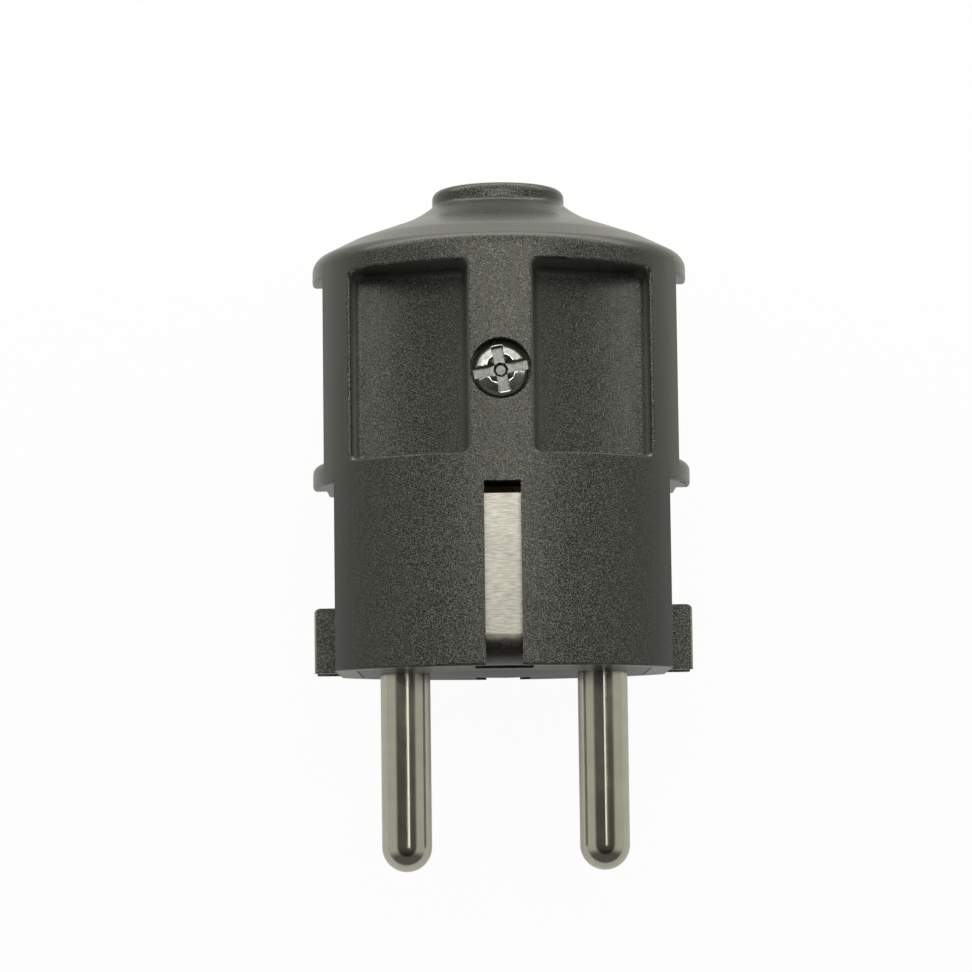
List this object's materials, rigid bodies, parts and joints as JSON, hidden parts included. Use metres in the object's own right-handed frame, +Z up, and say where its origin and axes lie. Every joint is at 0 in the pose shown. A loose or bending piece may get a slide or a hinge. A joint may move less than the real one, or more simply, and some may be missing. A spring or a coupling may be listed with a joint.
{
  "type": "schuko plug",
  "caption": "Straight rewirable mains plug with round pins, side earth contacts, scooped finger grips, two screwed half shells and a round cord neck.",
  "frame": {"origin": "on the surface that the plug lies on, below the middle of its whole length", "axes": "+Y along the plug from the pins to the cord entry, +Z up out of the screw side, X across the pins"},
  "size_m": [0.0364, 0.0658, 0.0363],
  "materials": {
    "shell_plastic": "fine spark-eroded grain",
    "carrier_plastic": "fine satin",
    "clamp_plastic": "satin",
    "pin_nickel": "nickel plated, satin",
    "strap_nickel": "nickel plated, brushed",
    "terminal_brass": "plain turned brass",
    "screw_steel": "bright zinc plated"
  },
  "bodies": {
    "root": {"front_shell": "shell_plastic", "rear_shell": "shell_plastic", "contact_carrier": "carrier_plastic", "left_pin": "pin_nickel", "right_pin": "pin_nickel", "earth_strap": "strap_nickel", "earth_terminal": "terminal_brass", "left_pin_screw": "screw_steel", "right_pin_screw": "screw_steel", "earth_screw": "screw_steel", "cord_clamp": "clamp_plastic", "left_clamp_screw": "screw_steel", "right_clamp_screw": "screw_steel", "housing_screw": "screw_steel", "housing_nut": "screw_steel"}
  },
  "joints": []
}
